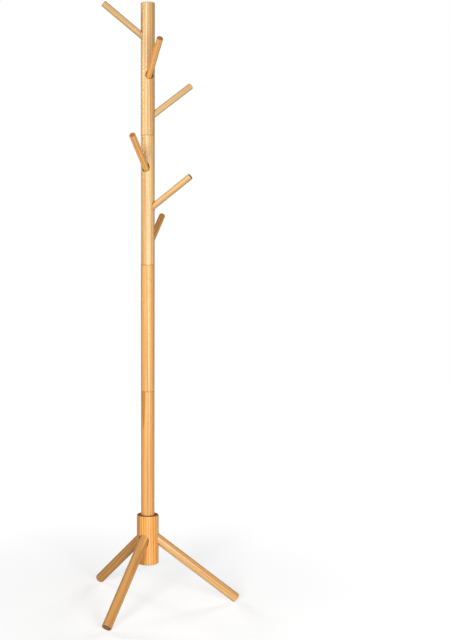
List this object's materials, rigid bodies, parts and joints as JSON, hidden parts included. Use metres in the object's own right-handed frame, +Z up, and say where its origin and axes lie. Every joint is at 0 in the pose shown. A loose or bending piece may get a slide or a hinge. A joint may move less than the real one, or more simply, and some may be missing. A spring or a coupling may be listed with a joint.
{
  "type": "standing coat rack",
  "caption": "Free-standing wooden coat rack: a round pole in screwed sections with slanted pegs, on a thick hub with splayed dowel legs.",
  "frame": {"origin": "where the pole's axis meets the floor", "axes": "+Z up along the pole, +X along the right leg"},
  "size_m": [0.4235, 0.4846, 1.759],
  "materials": {
    "light_wood": "satin clear lacquer",
    "warm_wood": "satin clear lacquer",
    "zinc_steel": "bright zinc plate"
  },
  "bodies": {
    "base": {"base_hub": "warm_wood", "hub_insert": "zinc_steel", "right_leg": "warm_wood", "right_leg_stud": "zinc_steel", "right_leg_insert": "zinc_steel", "rear_leg": "warm_wood", "rear_leg_stud": "zinc_steel", "rear_leg_insert": "zinc_steel", "front_leg": "warm_wood", "front_leg_stud": "zinc_steel", "front_leg_insert": "zinc_steel"},
    "lower_pole": {"lower_pole_section": "warm_wood", "lower_pole_section_stud": "zinc_steel", "lower_pole_section_insert": "zinc_steel"},
    "middle_pole": {"middle_pole_section": "warm_wood", "middle_pole_section_stud": "zinc_steel", "middle_pole_section_insert": "zinc_steel"},
    "lower_pegs": {"lower_peg_section": "light_wood", "lower_peg_section_stud": "zinc_steel", "lower_peg_section_insert": "zinc_steel", "peg_4": "warm_wood", "peg_4_stud": "zinc_steel", "peg_4_insert": "zinc_steel", "peg_5": "warm_wood", "peg_5_stud": "zinc_steel", "peg_5_insert": "zinc_steel", "peg_6": "warm_wood", "peg_6_stud": "zinc_steel", "peg_6_insert": "zinc_steel"},
    "upper_pegs": {"upper_peg_section": "light_wood", "upper_peg_section_stud": "zinc_steel", "peg_1": "warm_wood", "peg_1_stud": "zinc_steel", "peg_1_insert": "zinc_steel", "peg_2": "warm_wood", "peg_2_stud": "zinc_steel", "peg_2_insert": "zinc_steel", "peg_3": "warm_wood", "peg_3_stud": "zinc_steel", "peg_3_insert": "zinc_steel"}
  },
  "joints": [
    {"name": "lower_pole_turn", "type": "hinge", "parent": "base", "child": "lower_pole", "pos_m": [0, 0, 0.275], "axis": [0, 0, 1], "range_deg": [0, 180]},
    {"name": "middle_pole_turn", "type": "hinge", "parent": "lower_pole", "child": "middle_pole", "pos_m": [0, 0, 0.646], "axis": [0, 0, 1], "range_deg": [0, 180]},
    {"name": "lower_pegs_turn", "type": "hinge", "parent": "middle_pole", "child": "lower_pegs", "pos_m": [0, 0, 1.017], "axis": [0, 0, 1], "range_deg": [0, 180]},
    {"name": "upper_pegs_turn", "type": "hinge", "parent": "lower_pegs", "child": "upper_pegs", "pos_m": [0, 0, 1.388], "axis": [0, 0, 1], "range_deg": [0, 180]}
  ]
}
